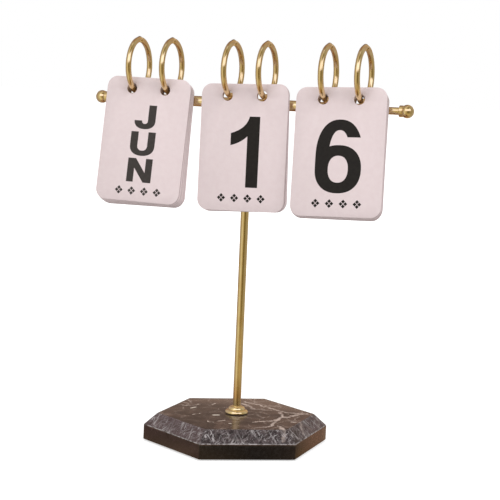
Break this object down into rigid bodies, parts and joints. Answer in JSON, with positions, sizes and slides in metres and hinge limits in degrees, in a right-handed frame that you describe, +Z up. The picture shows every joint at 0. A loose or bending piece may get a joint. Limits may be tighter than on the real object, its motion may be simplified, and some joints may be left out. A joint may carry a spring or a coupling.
{
  "type": "perpetual desk calendar",
  "caption": "Perpetual desk calendar with a hexagonal stone foot, a brass post and cross bar, and punched cards that flip over open rings.",
  "frame": {"origin": "centre of the foot's underside, on the table, on the axis of the post", "axes": "+X along the cross bar towards the units cards, -Y towards the reader, +Z up along the post"},
  "size_m": [0.2054, 0.1154, 0.2485],
  "materials": {
    "stone": "polished dark marble with pale veins, honed bevel",
    "brass": "polished and lacquered",
    "card": "matt printed board",
    "pad": "matt rubber",
    "gasket": "matt",
    "fastener": "zinc plated"
  },
  "bodies": {
    "stand": {"foot_stone": "stone", "foot_pad": "pad", "clamp_washer": "fastener", "clamp_nut": "fastener", "flange_gasket": "gasket", "post_flange": "brass", "post": "brass", "cross_tube": "brass", "finial_left": "brass", "finial_right": "brass", "ring_months_left": "brass", "ring_months_right": "brass", "ring_tens_left": "brass", "ring_tens_right": "brass", "ring_units_left": "brass", "ring_units_right": "brass"},
    "month_packet": {"card_jul": "card", "card_aug": "card", "card_sep": "card", "card_oct": "card", "card_nov": "card", "card_dec": "card", "card_jan": "card", "card_feb": "card", "card_mar": "card", "card_apr": "card", "card_may": "card"},
    "month_front": {"card_jun": "card"},
    "tens_packet": {"card_tens_2": "card", "card_tens_3": "card", "card_tens_0": "card"},
    "tens_front": {"card_tens_1": "card"},
    "units_packet": {"card_units_7": "card", "card_units_8": "card", "card_units_9": "card", "card_units_0": "card", "card_units_1": "card", "card_units_2": "card", "card_units_3": "card", "card_units_4": "card", "card_units_5": "card"},
    "units_front": {"card_units_6": "card"}
  },
  "joints": [
    {"name": "month_packet_flip", "type": "hinge", "parent": "stand", "child": "month_packet", "pos_m": [0, 0, 0.2301], "axis": [-1, 0, 0], "range_deg": [0, 315]},
    {"name": "month_card_flip", "type": "hinge", "parent": "month_packet", "child": "month_front", "pos_m": [0, 0, 0.2301], "axis": [-1, 0, 0], "range_deg": [0, 315]},
    {"name": "tens_packet_flip", "type": "hinge", "parent": "stand", "child": "tens_packet", "pos_m": [0, 0, 0.2301], "axis": [-1, 0, 0], "range_deg": [0, 315]},
    {"name": "tens_card_flip", "type": "hinge", "parent": "tens_packet", "child": "tens_front", "pos_m": [0, 0, 0.2301], "axis": [-1, 0, 0], "range_deg": [0, 315]},
    {"name": "units_packet_flip", "type": "hinge", "parent": "stand", "child": "units_packet", "pos_m": [0, 0, 0.2301], "axis": [-1, 0, 0], "range_deg": [0, 315]},
    {"name": "units_card_flip", "type": "hinge", "parent": "units_packet", "child": "units_front", "pos_m": [0, 0, 0.2301], "axis": [-1, 0, 0], "range_deg": [0, 315]}
  ]
}
